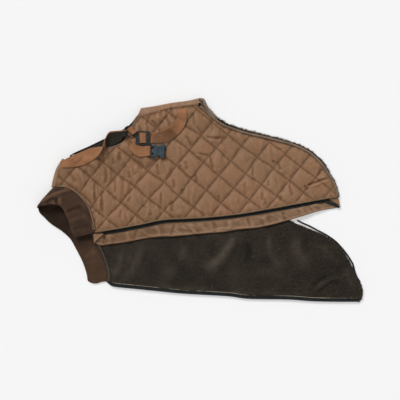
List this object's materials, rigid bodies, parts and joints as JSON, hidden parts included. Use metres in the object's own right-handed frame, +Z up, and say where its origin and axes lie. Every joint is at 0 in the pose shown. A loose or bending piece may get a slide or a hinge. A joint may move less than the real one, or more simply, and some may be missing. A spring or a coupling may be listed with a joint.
{
  "type": "dog winter coat",
  "caption": "Quilted, plush-lined dog coat with a ribbed collar and belly webbing, laid on its side with its spine zip open.",
  "frame": {"origin": "middle of the laid-out coat's box, on the surface that it lies on", "axes": "+X from the collar to the tail, +Y from the spine edge to the belly fold, +Z up from the surface"},
  "size_m": [0.6625, 0.4171, 0.0321],
  "materials": {
    "quilted_cloth": "satin woven shell, diamond quilted",
    "plush": "short dense pile",
    "rib_knit": "matt rib knit",
    "webbing": "flat woven webbing",
    "piping_cloth": "satin bias piping",
    "zip_black": "woven zip tape with moulded teeth",
    "black_plastic": "moulded acetal, slightly glossy",
    "dark_metal": "dark coated wire",
    "elastic": "covered elastic"
  },
  "bodies": {
    "root": {"armhole_binding": "elastic", "belly_panel": "quilted_cloth", "belly_strap": "webbing", "buckle": "black_plastic", "buckle_strap": "webbing", "chest_panel": "quilted_cloth", "chest_strap": "webbing", "collar": "rib_knit", "leg_elastic": "elastic", "lining_far": "plush", "lining_near": "plush", "piping_neck": "piping_cloth", "piping_rump": "piping_cloth", "piping_spine": "piping_cloth", "shell_far": "quilted_cloth", "shell_near": "quilted_cloth", "strap_glide": "black_plastic", "strap_ring": "dark_metal", "zip_far": "zip_black", "zip_garage_neck": "quilted_cloth", "zip_garage_tail": "quilted_cloth", "zip_guard": "quilted_cloth", "zip_near": "zip_black"}
  },
  "joints": []
}
